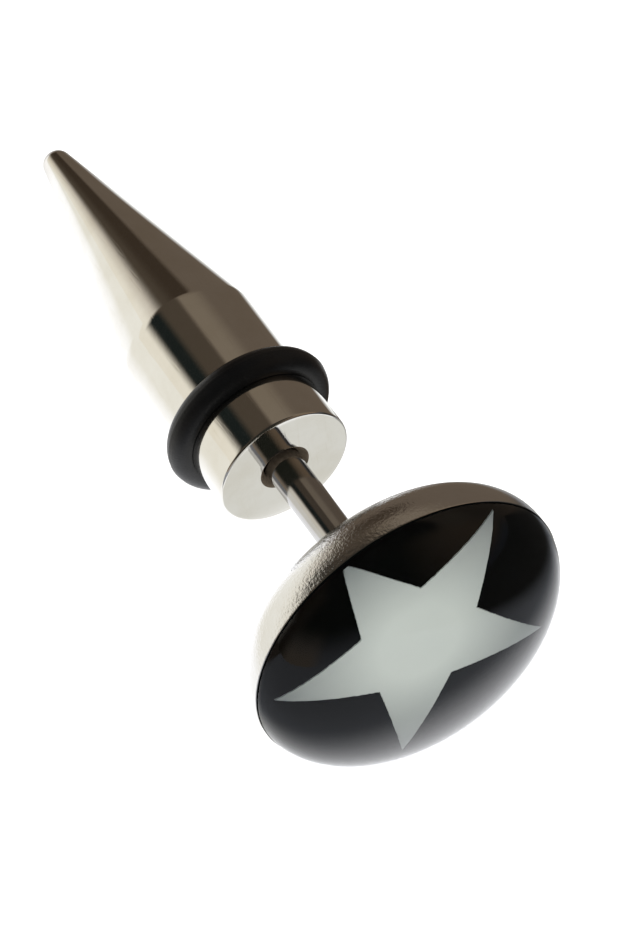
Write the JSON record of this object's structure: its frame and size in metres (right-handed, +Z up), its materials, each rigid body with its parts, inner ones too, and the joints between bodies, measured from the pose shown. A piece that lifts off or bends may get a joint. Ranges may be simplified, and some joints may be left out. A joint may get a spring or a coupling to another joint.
{
  "type": "ear stud with taper",
  "caption": "Ear stud made to look like a stretching taper: a domed steel disc with a star, and a cone-shaped taper with a rubber ring on its threaded post.",
  "frame": {"origin": "bottom of the bounding box, at its centre, with the stud lying on its side as it rests on a table", "axes": "+Y from the domed disc to the taper's tip, +X to the right seen from the disc, +Z up; the stud's own axis slopes down 12.39 degrees towards the tip"},
  "size_m": [0.0104, 0.0244, 0.0102],
  "materials": {
    "steel": "mirror-polished stainless steel",
    "black_print": "black print, wetted by the resin",
    "white_print": "white print, wetted by the resin",
    "resin": "clear glossy epoxy resin",
    "rubber": "smooth black rubber"
  },
  "bodies": {
    "taper": {"taper": "steel", "rubber_ring": "rubber"},
    "stud": {"disc": "steel", "lining": "black_print", "star": "white_print", "dome": "resin"}
  },
  "joints": [
    {"name": "stud_pull", "type": "slide", "parent": "taper", "child": "stud", "axis": [0, -0.9767, 0.2146], "range_m": [0, 0.006]}
  ]
}
